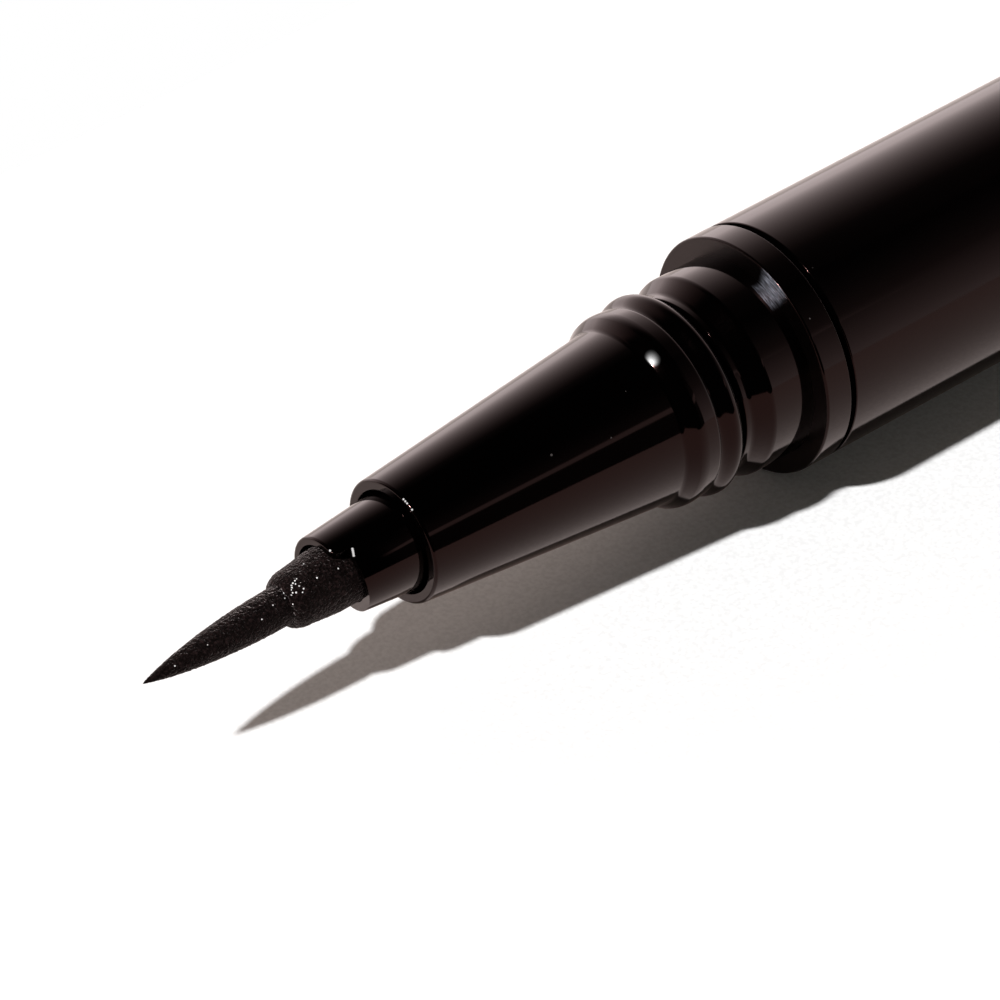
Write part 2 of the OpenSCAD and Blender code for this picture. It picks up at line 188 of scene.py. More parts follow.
class EyelinerStudio(bpy.types.PropertyGroup):
    """Table, key light and surroundings."""

    paper: tint("Paper", "Colour of the white paper under the pen", (0.95, 0.95, 0.95))
    key: factor("Key", "Strength of the key light", 4.4, 20.0)
    key_spread: angle("Key spread", "Angle that the key light spans", 3.1)
    ambient: factor("Ambient", "Share of the far wall's light that falls on matt surfaces", 1.35)
    near_ambient: factor("Near ambient", "Share of the near side's light that falls on matt surfaces", 0.95)
    far_wall: factor("Far wall", "Brightness of the white wall behind the pen", 2.4, 4.0)
    near_wall: factor("Near wall", "Brightness of the wall on the camera's side", 1.12, 4.0)
    fill_tint: tint("Fill tint", "Colour of the surroundings' light on matt surfaces", (1.0, 0.97, 0.88))
    far_tint: tint("Far tint", "Colour of the wall behind the pen", (1.0, 0.86, 0.85))


# Outlines, spun round the X axis


def corner(x, r, rounding=0.0):
    """One corner of an outline, in metres: its place, its radius and its rounding."""
    return (x, r, rounding)


def round_down(x0, x1, r0, r1):
    """Quarter round that leaves the radius r0 level at x0 and ends steep at the radius r1 and x1."""
    points = []
    for i in range(CURVE_STEPS + 1):
        a = math.radians(90) * i / CURVE_STEPS
        points.append(corner(x0 + (x1 - x0) * math.sin(a), r1 + (r0 - r1) * math.cos(a)))
    return points


def round_up(x0, x1, r0, r1):
    """Quarter round that starts steep at the radius r0 and x0 and ends level at r1 and x1."""
    points = []
    for i in range(CURVE_STEPS + 1):
        a = math.radians(90) * i / CURVE_STEPS
        points.append(corner(x1 - (x1 - x0) * math.cos(a), r0 + (r1 - r0) * math.sin(a)))
    return points


def crest(x0, x1, r0, r1):
    """Crest that leaves the radius r0 level at x0 and bends down to r1 at x1, without its first point."""
    points = []
    for i in range(1, CURVE_STEPS + 1):
        t = i / CURVE_STEPS
        points.append(corner(x0 + (x1 - x0) * t, r0 - (r0 - r1) * t**2.5))
    return points


def wave(x0, x1, r0, r1):
    """Wave that is level at both its ends, without its first point."""
    points = []
    for i in range(1, CURVE_STEPS + 1):
        t = i / CURVE_STEPS
        points.append(corner(x0 + (x1 - x0) * t, (r0 + r1) / 2 + (r0 - r1) / 2 * math.cos(math.pi * t)))
    return points


def supported(outline):
    """The outline with a point on both sides of each rounded corner, so that long bands shade flat."""
    points = []
    count = len(outline)
    clear = 0.02 * MM
    for i, (x, r, rounding) in enumerate(outline):
        here = Vector((x, r))
        sides = [(i - 1) % count, (i + 1) % count]
        for side in sides:
            other = Vector(outline[side][:2])
            room = (other - here).length - outline[side][2]
            if rounding > 0 and room > 3 * rounding:
                near = here + (other - here).normalized() * (rounding + clear)
                points.append(corner(near.x, near.y))
            if side == sides[0]:
                points.append(corner(x, r, rounding))
    return points


def turned(outline, steps=TURN_STEPS):
    """A closed solid, in millimetres, from an outline spun round the X axis."""
    outline = supported(outline)
    bm = bmesh.new()
    verts = [bm.verts.new((x / MM, 0.0, r / MM)) for x, r, rounding in outline]
    bm.faces.new(verts)
    by_rounding = {}
    for vert, (x, r, rounding) in zip(verts, outline):
        if rounding > 0:
            by_rounding.setdefault(rounding, []).append(vert)
    for rounding, group in by_rounding.items():
        bmesh.ops.bevel(
            bm, geom=group, offset=rounding / MM, offset_type="OFFSET", segments=CORNER_STEPS,
            profile=0.5, affect="VERTICES", clamp_overlap=True, material=-1,
        )
    bmesh.ops.delete(bm, geom=bm.faces[:], context="FACES_ONLY")
    on_axis = [e for e in bm.edges if max(v.co.z for v in e.verts) < ON_AXIS]
    bmesh.ops.delete(bm, geom=on_axis, context="EDGES_FACES")
    bmesh.ops.spin(
        bm, geom=bm.verts[:] + bm.edges[:], cent=(0, 0, 0), axis=(1, 0, 0), angle=math.tau,
        steps=steps, use_merge=True, use_duplicate=False,
    )
    bmesh.ops.remove_doubles(bm, verts=bm.verts, dist=WELD)
    bmesh.ops.recalc_face_normals(bm, faces=bm.faces)
    return bm


def new_piece(bm, name, material):
    """A finished object in metres from a bmesh in millimetres, with its place in its mesh."""
    bmesh.ops.scale(bm, vec=(MM, MM, MM), verts=bm.verts)
    mesh = bpy.data.meshes.new(name)
    bm.to_mesh(mesh)
    bm.free()
    mesh.shade_smooth()
    mesh.set_sharp_from_angle(angle=math.radians(35))
    mesh.materials.append(material)
    piece = bpy.data.objects.new(name, mesh)
    bpy.context.scene.collection.objects.link(piece)
    return piece


def fit(piece, body, slot, *nodes):
    """Lets a piece ride on its body and stand for its CAD nodes; the slot is not used."""
    even = piece.modifiers.new("even_normals", "WEIGHTED_NORMAL")
    even.mode = "FACE_AREA"
    even.keep_sharp = True
    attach(piece, body)
    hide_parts(*nodes)


# Materials


def new_material(name):
    """An empty node material with its Principled shader, and its node tree."""
    material = bpy.data.materials.new(name)
    material.use_nodes = True
    return material, material.node_tree, material.node_tree.nodes["Principled BSDF"]


def add(tree, kind, inputs=None, **settings):
    """A new node with its settings, and its inputs set to values or linked to sockets."""
    node = tree.nodes.new(kind)
    for name, value in settings.items():
        setattr(node, name, value)
    for name, value in (inputs or {}).items():
        if isinstance(value, bpy.types.NodeSocket):
            tree.links.new(value, node.inputs[name])
        else:
            node.inputs[name].default_value = value
    return node


def calc(tree, operation, a, b=0.0, c=0.0, clamp=False):
    """The output of a Math node."""
    node = add(tree, "ShaderNodeMath", {0: a, 1: b, 2: c}, operation=operation, use_clamp=clamp)
    return node.outputs[0]


def remap(tree, value, low=0.0, high=1.0, start=0.0, end=1.0, shape="LINEAR"):
    """The value carried over from the range low to high to the range start to end, and held there."""
    return add(
        tree, "ShaderNodeMapRange",
        {"Value": value, "From Min": low, "From Max": high, "To Min": start, "To Max": end},
        interpolation_type=shape,
    ).outputs[0]


def mix(tree, share, first, second, blend="MIX"):
    """The colour between the first and the second at a share of the second."""
    a, b, result = MIX_COLOURS
    node = add(
        tree, "ShaderNodeMix", {"Factor": share, a: opaque(first), b: opaque(second)}, data_type="RGBA",
        blend_type=blend,
    )
    return node.outputs[result]


def opaque(colour):
    """The colour with an alpha of one, or the socket that gives it."""
    return colour if isinstance(colour, bpy.types.NodeSocket) else (*colour, 1.0)


def tinted(colour, share):
    """The colour made lighter or darker."""
    return tuple(c * share for c in colour)


def ramp(tree, value, stops, low=0.0, high=1.0):
    """The output of a Color Ramp whose stops are (place between low and high, brightness)."""
    node = add(tree, "ShaderNodeValToRGB", {"Fac": remap(tree, value, low, high)})
    elements = node.color_ramp.elements
    for i, (place, level) in enumerate(stops):
        position = (place - low) / (high - low)
        element = elements[i] if i < 2 else elements.new(position)
        element.position = position
        element.color = (level, level, level, 1.0)
    return node.outputs["Color"]


def object_place(tree):
    """The Object coordinates."""
    return add(tree, "ShaderNodeTexCoord").outputs["Object"]


def object_noise(tree, scale, stretch=(1, 1, 1), detail=2.0, roughness=0.5):
    """Noise on Object coordinates, with scale in waves per metre and stretch along each axis."""
    mapped = add(tree, "ShaderNodeMapping", {"Vector": object_place(tree), "Scale": stretch}).outputs[0]
    return add(
        tree, "ShaderNodeTexNoise",
        {"Vector": mapped, "Scale": scale, "Detail": detail, "Roughness": roughness},
    ).outputs["Fac"]


def cell_pattern(tree, cells):
    """The outputs of a Voronoi pattern on Object coordinates, with cells per metre."""
    inputs = {"Vector": object_place(tree), "Scale": cells, "Randomness": 1.0}
    return add(tree, "ShaderNodeTexVoronoi", inputs, feature="F1").outputs


def dust_mask(tree, cells, radius):
    """One on scattered round specks of the given radius, and zero elsewhere."""
    away = cell_pattern(tree, cells)["Distance"]
    return calc(tree, "LESS_THAN", away, radius * cells)


def patch_mask(tree, middle, spread, solid=0.55):
    """One at a place on the piece, fading from a solid share of its spread along each axis to zero."""
    away = add(
        tree, "ShaderNodeVectorMath", {0: object_place(tree), 1: middle}, operation="SUBTRACT",
    ).outputs[0]
    away = add(tree, "ShaderNodeVectorMath", {0: away, 1: spread}, operation="DIVIDE").outputs[0]
    away = add(tree, "ShaderNodeVectorMath", {0: away}, operation="LENGTH").outputs["Value"]
    return remap(tree, away, solid, 1.0, 1.0, 0.0, "SMOOTHSTEP")


def recolour(material, share, colour):
    """Gives a material a second colour where the share is one."""
    tree = material.node_tree
    base = tree.nodes["Principled BSDF"].inputs["Base Color"]
    tree.links.new(mix(tree, share, base.links[0].from_socket, colour), base)


def scuff_and_paint_glint(material, face, root):
    """Scuffs the collar's front face, and more so one patch of it, which is painted pale bluish grey as a
    painted highlight of the key light.
    """
    # How far the scuffs reach along the pen, how dull the face is, and the root's share of them
    face_depth, root_margin, root_width = 0.03 * MM, 0.01 * MM, 0.2 * MM
    face_roughness, root_share = 0.3, 0.8
    # Rings per metre, their changes round the axis, and the patch's middle, solid part and end
    rings_across, changes_around = 18000.0, 9.0
    patch_turn, patch_solid, patch_end = math.radians(21), math.radians(3), math.radians(10)
    tree = material.node_tree
    axes = add(tree, "ShaderNodeSeparateXYZ", {0: object_place(tree)}).outputs
    squares = [calc(tree, "MULTIPLY", axes[axis], axes[axis]) for axis in ("Y", "Z")]
    radius = calc(tree, "SQRT", calc(tree, "ADD", *squares))
    around = calc(tree, "ARCTAN2", axes["Y"], axes["Z"])
    off = calc(tree, "ABSOLUTE", calc(tree, "SUBTRACT", axes["X"], face))
    on_face = calc(tree, "LESS_THAN", off, face_depth)
    on_face = calc(tree, "MULTIPLY", on_face, calc(tree, "GREATER_THAN", radius, root + root_margin))
    polish = tree.nodes["Principled BSDF"].inputs["Roughness"]
    a, b, result = MIX_VALUES
    values = {"Factor": on_face, a: polish.links[0].from_socket, b: face_roughness}
    duller = add(tree, "ShaderNodeMix", values)
    tree.links.new(duller.outputs[result], polish)
    # Fine rings of scuffs in one patch, on the face and on the neck's root, painted pale where the key
    # light's glint falls: a painted highlight
    across = calc(tree, "MULTIPLY", calc(tree, "ADD", radius, axes["X"]), rings_across)
    changes = calc(tree, "MULTIPLY", around, changes_around)
    rings = add(tree, "ShaderNodeCombineXYZ", {0: across, 1: changes})
    streaks = add(
        tree, "ShaderNodeTexNoise",
        {"Vector": rings.outputs[0], "Scale": 1.0, "Detail": 2.0, "Roughness": 0.6},
    ).outputs["Fac"]
    share = remap(tree, streaks, 0.45, 0.7, 0.15, 1.0)
    away = calc(tree, "ABSOLUTE", calc(tree, "SUBTRACT", around, patch_turn))
    side = remap(tree, away, patch_solid, patch_end, 1.0, 0.0, "SMOOTHSTEP")
    off_root = calc(tree, "ABSOLUTE", calc(tree, "SUBTRACT", off, root_width))
    on_root = calc(tree, "LESS_THAN", off_root, root_width)
    on_root = calc(tree, "MULTIPLY", on_root, calc(tree, "GREATER_THAN", axes["X"], face))
    scuffed = calc(tree, "MAXIMUM", on_face, calc(tree, "MULTIPLY", on_root, root_share))
    painted_glint = calc(tree, "MULTIPLY", calc(tree, "MULTIPLY", share, side), scuffed)
    # Painted highlight: the scuffed patch takes a pale bluish grey base colour where the key light's glint
    # falls
    highlight_bluish_grey = (0.26, 0.27, 0.32)
    recolour(material, painted_glint, highlight_bluish_grey)


def at_turn(x, turn, radius):
    """The place at a turn in degrees from the top towards +Y, out from the pen's axis."""
    a = math.radians(turn)
    return (x, radius * math.sin(a), radius * math.cos(a))


def wet_spot(material, middle, spread):
    """A dab of clear liquid that catches the key light in one broad white glint."""
    tree = material.node_tree
    shader = tree.nodes["Principled BSDF"]
    shader.inputs["Coat Roughness"].default_value = 0.25
    shader.inputs["Coat IOR"].default_value = 1.5
    tree.links.new(patch_mask(tree, middle, spread, solid=0.2), shader.inputs["Coat Weight"])


def painted_glints(material, middles, radius):
    """Small round pale spots that stand in for the key light's glints: painted highlights."""
    tree = material.node_tree
    glint_pale_grey = (0.55, 0.54, 0.54)
    found = 0.0
    for middle in middles:
        found = calc(tree, "MAXIMUM", found, patch_mask(tree, middle, (radius, radius, radius)))
    # Painted glints: the spots take a pale grey base colour
    recolour(material, found, glint_pale_grey)


def black_gloss(name, scratch_stretch=(0.02, 1, 1)):
    """Polished black moulding with fine scratches, slow waves and dust."""
    # Cells or waves per metre, and how deep the relief is
    dust_cells, scratch_waves, slow_waves = 650.0, 9000.0, 350.0
    scratch_depth, wave_depth = 0.0004 * MM, 0.01 * MM
    dust_radius, dust_roughness = 0.05 * MM, 0.7
    look = bpy.context.scene.eyeliner_finishes
    material, tree, shader = new_material(name)
    shader.inputs["IOR"].default_value = look.index
    shader.inputs["Specular Tint"].default_value = (*look.sheen_tint, 1.0)
    dust = dust_mask(tree, dust_cells, dust_radius)
    tree.links.new(mix(tree, dust, look.black, look.dust), shader.inputs["Base Color"])
    hairlines = object_noise(tree, scratch_waves, scratch_stretch, detail=3.0, roughness=0.7)
    waves = object_noise(tree, slow_waves, detail=1.0)
    rough = remap(tree, hairlines, 0.3, 0.75, look.polish * 0.7, look.polish * 1.6)
    rough = calc(tree, "MAXIMUM", rough, calc(tree, "MULTIPLY", dust, dust_roughness))
    tree.links.new(rough, shader.inputs["Roughness"])
    fine = add(
        tree, "ShaderNodeBump",
        {"Strength": look.scratches, "Distance": scratch_depth, "Height": hairlines},
    )
    slow = add(
        tree, "ShaderNodeBump",
        {"Strength": 0.5, "Distance": wave_depth, "Height": waves, "Normal": fine.outputs[0]},
    )
    tree.links.new(slow.outputs[0], shader.inputs["Normal"])
    return material


def wet_felt(name, shoulder):
    """Dense felt soaked with black-brown liquid, with pale specks crowding at its shoulder that are painted
    sparkles of the key light.
    """
    # Waves or cells per metre, and how deep the relief is
    grain_waves, fibre_waves, speck_cells = 9000.0, 6500.0, 8300.0
    grain_depth, fibre_depth = 0.07 * MM, 0.12 * MM
    # Share of cells without a speck, how much of it goes at the shoulder, and a speck's size in cells
    bare_share, crowding, speck_size = 0.994, 0.78, 0.3
    crowd_spread = (0.55 * MM, 0.5 * MM, 0.5 * MM)
    painted_sparkle = (0.8, 0.78, 0.78)
    look = bpy.context.scene.eyeliner_finishes
    material, tree, shader = new_material(name)
    grain = object_noise(tree, grain_waves, roughness=0.6)
    fibres = object_noise(tree, fibre_waves, roughness=0.6)
    colour = mix(tree, remap(tree, grain, 0.5, 0.72), look.felt, tinted(look.felt, 24.0))
    # Pale specks, crowding at the shoulder, are painted sparkles of the key light
    cell = cell_pattern(tree, speck_cells)
    chance = add(tree, "ShaderNodeSeparateXYZ", {0: cell["Color"]}).outputs["X"]
    crowd = patch_mask(tree, shoulder, crowd_spread)
    bare = calc(tree, "MULTIPLY_ADD", crowd, -crowding, bare_share)
    wanted = calc(tree, "GREATER_THAN", chance, bare)
    speck = calc(tree, "MULTIPLY", wanted, calc(tree, "LESS_THAN", cell["Distance"], speck_size))
    tree.links.new(mix(tree, speck, colour, painted_sparkle), shader.inputs["Base Color"])
    tree.links.new(remap(tree, fibres, 0.0, 1.0, 0.35, 0.75), shader.inputs["Roughness"])
    shader.inputs["IOR"].default_value = 1.16
    shader.inputs["Specular Tint"].default_value = (0.9, 0.6, 0.56, 1.0)
    shader.inputs["Sheen Weight"].default_value = 0.32
    shader.inputs["Sheen Roughness"].default_value = 0.29
    shader.inputs["Sheen Tint"].default_value = (1.0, 0.86, 0.84, 1.0)
    coarse = add(tree, "ShaderNodeBump", {"Strength": 0.9, "Distance": fibre_depth, "Height": fibres})
    bump = add(
        tree, "ShaderNodeBump",
        {"Strength": 1.0, "Distance": grain_depth, "Height": grain, "Normal": coarse.outputs[0]},
    )
    tree.links.new(bump.outputs[0], shader.inputs["Normal"])
    return material


def plain_moulding(name, colour, roughness, grain=0.3, metallic=0.0, stretch=(1, 1, 1)):
    """Satin moulding, rubber or metal, with a fine uneven grain."""
    grain_waves, grain_depth, darkest = 4000.0, 0.01 * MM, 0.88
    material, tree, shader = new_material(name)
    shader.inputs["Metallic"].default_value = metallic
    fine = object_noise(tree, grain_waves, stretch, detail=3.0)
    tree.links.new(mix(tree, fine, tinted(colour, darkest), colour), shader.inputs["Base Color"])
    rough = remap(tree, fine, 0.0, 1.0, roughness * 0.8, min(1.0, roughness * 1.2))
    tree.links.new(rough, shader.inputs["Roughness"])
    bump = add(tree, "ShaderNodeBump", {"Strength": grain, "Distance": grain_depth, "Height": fine})
    tree.links.new(bump.outputs[0], shader.inputs["Normal"])
    return material


def dress_node(node, material):
    """Gives a CAD node that stays in view its material, in every slot it has."""
    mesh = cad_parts[node].data
    if not mesh.materials:
        mesh.materials.append(material)
    for i in range(len(mesh.materials)):
        mesh.materials[i] = material


def span(node):
    """Where a CAD node starts and ends along the pen, and its greatest radius."""
    low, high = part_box(node)
    return low.x, high.x, high.z


class EYELINER_OT_barrel(bpy.types.Operator):
    """Model the barrel tube"""

    bl_idname = "eyeliner.barrel"
    bl_label = "Barrel"

    def execute(self, context):
        size = context.scene.eyeliner_sizes
        back, front, radius = span("barrel")
        bore = radius - size.barrel_wall
        bm = turned([
            corner(back, bore),
            corner(back, radius, size.edge),
            corner(front - size.barrel_gap, radius, size.edge),
            corner(front - size.barrel_gap, bore),
        ])
        piece = new_piece(bm, "barrel_tube", black_gloss("barrel_black"))
        fit(piece, "pen", "barrel_black", "barrel")
        return {"FINISHED"}


class EYELINER_OT_tail_plug(bpy.types.Operator):
    """Model the plug that closes the barrel's tail end"""

    bl_idname = "eyeliner.tail_plug"
    bl_label = "Tail plug"

    def execute(self, context):
        size = context.scene.eyeliner_sizes
        back, front, radius = span("tail_plug")
        head = span("barrel")[0]
        floor = 2 * head
        stem = radius - size.barrel_wall - PRESS_GAP
        hollow = stem - 2 * size.sleeve_wall
        bm = turned([
            corner(back, 0),
            corner(back, radius, 2 * size.edge),
            corner(head, radius, size.edge),
            corner(head, stem),
            corner(front, stem, size.edge),
            corner(front, hollow),
            corner(floor, hollow),
            corner(floor, 0),
        ])
        piece = new_piece(bm, "tail_plug_head", black_gloss("tail_black", (1, 0.15, 0.15)))
        fit(piece, "pen", "barrel_black", "tail_plug")
        return {"FINISHED"}


class EYELINER_OT_front_section(bpy.types.Operator):
    """Model the collar, neck, snap beads and cone as one moulding"""

    bl_idname = "eyeliner.front_section"
    bl_label = "Front section"

    def execute(self, context):
        size = context.scene.eyeliner_sizes
        back, rim, radius = span("front_section")
        collar_back = span("barrel")[1]
        face = collar_back + size.collar_length
        bead_top_share = 0.31
        bead_foot_drop = 0.27 * MM
        front_back_share = 0.12
        front_top_share = 0.442
        flank_share = 0.7
        cone_bore_share = 0.17
        parting_round = 0.02 * MM
        slot_round = 0.03 * MM
        sleeve = radius - size.barrel_wall - PRESS_GAP
        bore = sleeve - size.sleeve_wall
        parting = radius - size.parting_depth
        neck_end = face + size.neck_length
        groove = neck_end + size.neck_flank
        slot = groove + size.groove_length
        bead = slot + size.slot_length
        bead_top = bead + bead_top_share * size.bead_length
        hollow = bead + size.bead_length
        front_back = hollow + front_back_share * size.front_bead_length
        front_top = hollow + front_top_share * size.front_bead_length
        flank = hollow + flank_share * size.front_bead_length
        foot = hollow + size.front_bead_length
        cone_bore = size.cone_foot_radius - size.cone_wall
        cone_bore_end = foot + cone_bore_share * (rim - foot)
        socket = size.shank_radius + PRESS_GAP
        recess = rim - size.rim_hole_depth
        bm = turned([
            corner(back, bore),
            corner(back, sleeve, size.edge),
            corner(collar_back, sleeve),
            corner(collar_back, parting),
            corner(collar_back + size.parting_length, parting),
            corner(collar_back + size.parting_length, radius, parting_round),
            corner(face, radius, size.collar_round),
            corner(face, size.neck_root_radius),
            corner(neck_end, size.neck_radius, CREASE),
            corner(groove, size.groove_radius, CREASE),
            corner(slot, size.groove_radius, slot_round),
            corner(slot, size.slot_radius),
            corner(bead, size.slot_radius),
            *round_up(bead, bead_top, size.bead_radius - bead_foot_drop, size.bead_radius),
            *wave(bead_top, hollow, size.bead_radius, size.hollow_radius),
            *round_up(hollow, front_back, size.hollow_radius, size.front_bead_back)[1:],
            corner(front_top, size.front_bead_radius),
            *crest(front_top, flank, size.front_bead_radius, size.flank_radius),
            corner(foot, size.cone_foot_radius, CREASE),
            corner(rim, size.cone_rim_radius, size.cone_rim_round),
            corner(rim, size.rim_hole_radius, size.edge),
            corner(recess, size.rim_hole_radius),
            corner(recess, socket),
            corner(cone_bore_end + cone_bore - socket, socket),
            corner(cone_bore_end, cone_bore),
            corner(face + PRESS_GAP, cone_bore),
            corner(face + PRESS_GAP, bore),
        ])
        black = black_gloss("section_black")
        scuff_and_paint_glint(black, face, size.neck_root_radius)
        # A dab of liquid at the cone's foot, and pale spots along its rim that are painted glints, by their
        # turns in degrees
        dab_back, dab_lift, dab_turn = 0.27 * MM, 0.18 * MM, 20
        dab = at_turn(foot - dab_back, dab_turn, size.cone_foot_radius + dab_lift)
        wet_spot(black, dab, (0.3 * MM, 0.42 * MM, 0.42 * MM))
        glint_back, glint_turns = 0.03 * MM, (15, 17.5, 20, 27)
        glint_places = [at_turn(rim - glint_back, turn, size.cone_rim_radius) for turn in glint_turns]
        painted_glints(black, glint_places, radius=0.06 * MM)
        piece = new_piece(bm, "front_section_moulding", black)
        fit(piece, "pen", "section_black", "front_section")
        return {"FINISHED"}


def lip_cutters(size, front):
    """Two cutters: one cuts back half of the holder's front edge, one rounds the lip's corner."""
    front, corner_size = front / MM, size.lip_corner / MM
    reach = 2 * size.shank_radius / MM
    block = bmesh.new()
    bmesh.ops.create_cube(block, size=1.0)
    bmesh.ops.scale(block, vec=(2 * reach, reach, 2 * reach), verts=block.verts)
    bmesh.ops.translate(block, vec=(reach, reach / 2, 0), verts=block.verts)
    tilt = Matrix.Rotation(size.lip_tilt, 3, "Y")
    bmesh.ops.rotate(block, cent=(0, 0, 0), matrix=tilt, verts=block.verts)
    bmesh.ops.translate(block, vec=(front - size.lip_length / MM, 0, 0), verts=block.verts)
    flare = bmesh.new()
    outline = [(front - corner_size, corner_size), (front + 1, corner_size), (front + 1, -corner_size)]
    for i in range(CURVE_STEPS + 1):
        a = math.radians(90) * i / CURVE_STEPS
        outline.append((
            front - corner_size + corner_size * math.cos(a), -corner_size + corner_size * math.sin(a)
        ))
    face = flare.faces.new([flare.verts.new((x, y, -reach)) for x, y in outline])
    grown = bmesh.ops.extrude_face_region(flare, geom=[face])["geom"]
    top = [v for v in grown if isinstance(v, bmesh.types.BMVert)]
    bmesh.ops.translate(flare, vec=(0, 0, 2 * reach), verts=top)
    bmesh.ops.recalc_face_normals(flare, faces=flare.faces)
    cutters = []
    for bm in (block, flare):
        turn = Matrix.Rotation(-size.lip_turn, 3, "X")
        bmesh.ops.rotate(bm, cent=(0, 0, 0), matrix=turn, verts=bm.verts)
        cutters.append(new_piece(bm, "lip_cutter", bpy.data.materials.new("cutter")))
    return cutters


class EYELINER_OT_nib_holder(bpy.types.Operator):
    """Model the nib holder with its one-sided lip"""

    bl_idname = "eyeliner.nib_holder"
    bl_label = "Nib holder"

    def execute(self, context):
        size = context.scene.eyeliner_sizes
        back, front = span("nib_holder")[:2]
        rim = span("front_section")[1]
        bore = size.nib_radius + PRESS_GAP
        front_round = 0.09 * MM
        mouth_slope = 0.1 * MM
        bm = turned([
            corner(back, bore),
            corner(back, size.shank_radius, size.edge),
            corner(rim, size.shank_radius),
            corner(front, size.holder_radius, front_round),
            corner(front, size.mouth_radius),
            corner(rim, size.mouth_radius),
            corner(rim - mouth_slope, bore),
        ])
        black = black_gloss("holder_black")
        # A streak of pale spots up the lip's step, painted glints of the key light, with its spacing and
        # its turns in degrees, and one at its end
        step = front - size.lip_length + 0.12 * MM
        side = size.holder_radius + 0.07 * MM
        spacing, first_turn, more_turn = 0.029 * MM, 28, 2
        glint_places = [at_turn(step + spacing * i, first_turn + more_turn * i, side) for i in range(5)]
        end_back, end_turn = 0.03 * MM, 15
        glint_places.append(at_turn(front - end_back, end_turn, size.holder_radius))
        painted_glints(black, glint_places, radius=0.062 * MM)
        piece = new_piece(bm, "nib_holder_moulding", black)
        cutters = lip_cutters(size, front)
        for cutter in cutters:
            cut = piece.modifiers.new("lip_cut", "BOOLEAN")
            cut.operation = "DIFFERENCE"
            cut.solver = "EXACT"
            cut.object = cutter
        soften = piece.modifiers.new("soft_edges", "BEVEL")
        soften.width = 0.08 * MM
        soften.segments = 3
        soften.limit_method = "ANGLE"
        soften.angle_limit = math.radians(40)
        bpy.context.view_layer.update()
        depsgraph = context.evaluated_depsgraph_get()
        cut_mesh = bpy.data.meshes.new_from_object(piece.evaluated_get(depsgraph))
        piece.modifiers.clear()
        piece.data = cut_mesh
        for cutter in cutters:
            bpy.data.objects.remove(cutter)
        fit(piece, "pen", "holder_black", "nib_holder")
        return {"FINISHED"}


class EYELINER_OT_nib(bpy.types.Operator):
    """Model the felt nib with its round shoulder and its slender point, drooping a little"""

    bl_idname = "eyeliner.nib"
    bl_label = "Felt nib"

    def execute(self, context):
        size = context.scene.eyeliner_sizes
        back = span("nib")[0]
        front = span("nib_holder")[1]
        rim = span("front_section")[1]
        root = front + size.nib_base_length
        shoulder = root - size.shoulder_length
        # Close rings for the felt's uneven surface, and the powers that space and shape those of the point
        base_rings, point_rings, nib_steps = 60, 150, 128
        spacing_power, point_power = 1.15, 0.85
        outline = [corner(back, 0), corner(back, size.nib_radius, size.edge), corner(rim, size.nib_radius)]
        for i in range(base_rings):
            t = i / base_rings
            outline.append(corner(
                front + (shoulder - front) * t,
                size.nib_radius + (size.shoulder_radius - size.nib_radius) * t,
            ))
        outline += round_down(shoulder, root, size.shoulder_radius, size.point_radius)
        for i in range(1, point_rings):
            t = 1 - (1 - i / point_rings) ** spacing_power
            outline.append(corner(
                root + size.point_length * t, size.point_radius * (1 - t * t) ** point_power
            ))
        outline.append(corner(root + size.point_length, 0))
        bm = turned(outline, nib_steps)
        droop_axis = Vector((0, math.cos(size.droop_turn), math.sin(size.droop_turn)))
        droop = Matrix.Rotation(size.nib_droop, 3, droop_axis)
        pivot = Vector((rim / MM, 0, 0))
        # Unevenness of the felt outside its holder: waves per millimetre, and depth in millimetres
        felt_waves, felt_depth, felt_start = 9.0, 0.022, front / MM + 0.1
        # Layers of that noise, and how much fainter and finer each one is than the last
        layers, fainter, finer = 3, 0.8, 2.0
        for vert in bm.verts:
            if vert.co.x > pivot.x - 1e-4:
                vert.co = pivot + droop @ (vert.co - pivot)
            if vert.co.x > felt_start:
                rough = noise.fractal(vert.co * felt_waves, fainter, finer, layers)
                outward = Vector((0, vert.co.y, vert.co.z)).normalized()
                vert.co += outward * rough * felt_depth
        # Middle of the painted sparkles, just ahead of the shoulder
        specks_ahead, specks_turn = 0.55 * MM, 34
        sparkle_middle = at_turn(shoulder + specks_ahead, specks_turn, size.shoulder_radius)
        piece = new_piece(bm, "felt_nib", wet_felt("felt_black", sparkle_middle))
        fit(piece, "pen", "felt_black", "nib")
        return {"FINISHED"}


class EYELINER_OT_cap(bpy.types.Operator):
    """Model the cap that lies in front of the nib"""

    bl_idname = "eyeliner.cap"
    bl_label = "Cap"

    def execute(self, context):
        size = context.scene.eyeliner_sizes
        mouth, end, radius = span("cap_shell")
        bore = radius - size.cap_wall
        land = size.bead_radius + SLIDE_GAP
        land_end = mouth + size.neck_length + size.neck_flank + size.groove_length + size.slot_length
        floor = end - size.cap_end
        inner_cap = size.cone_foot_radius + SLIDE_GAP - size.seal_taper + size.inner_cap_wall
        stop = inner_cap + SLIDE_GAP
        stop_front = span("inner_cap")[0] + size.seal_length + 2 * size.guide_length - SLIDE_GAP
        stop_back = stop_front - size.stop_length
        land_slope = 0.1 * MM
        bm = turned([
            corner(mouth, land, size.edge),
            corner(mouth, radius, size.edge),
            corner(end, radius, size.cap_round),
            corner(end, 0),
            corner(floor - size.boss_length, 0),
            corner(floor - size.boss_length, size.boss_radius, size.edge),
            corner(floor, size.boss_radius),
            corner(floor, bore),
            corner(stop_front, bore),
            corner(stop_front, stop, size.edge),
            corner(stop_back, stop),
            corner(stop_back - bore + stop, bore),
            corner(land_end + land_slope, bore),
            corner(land_end, land),
        ])
        piece = new_piece(bm, "cap_tube", black_gloss("cap_black"))
        fit(piece, "cap", "cap_black", "cap_shell")
        return {"FINISHED"}


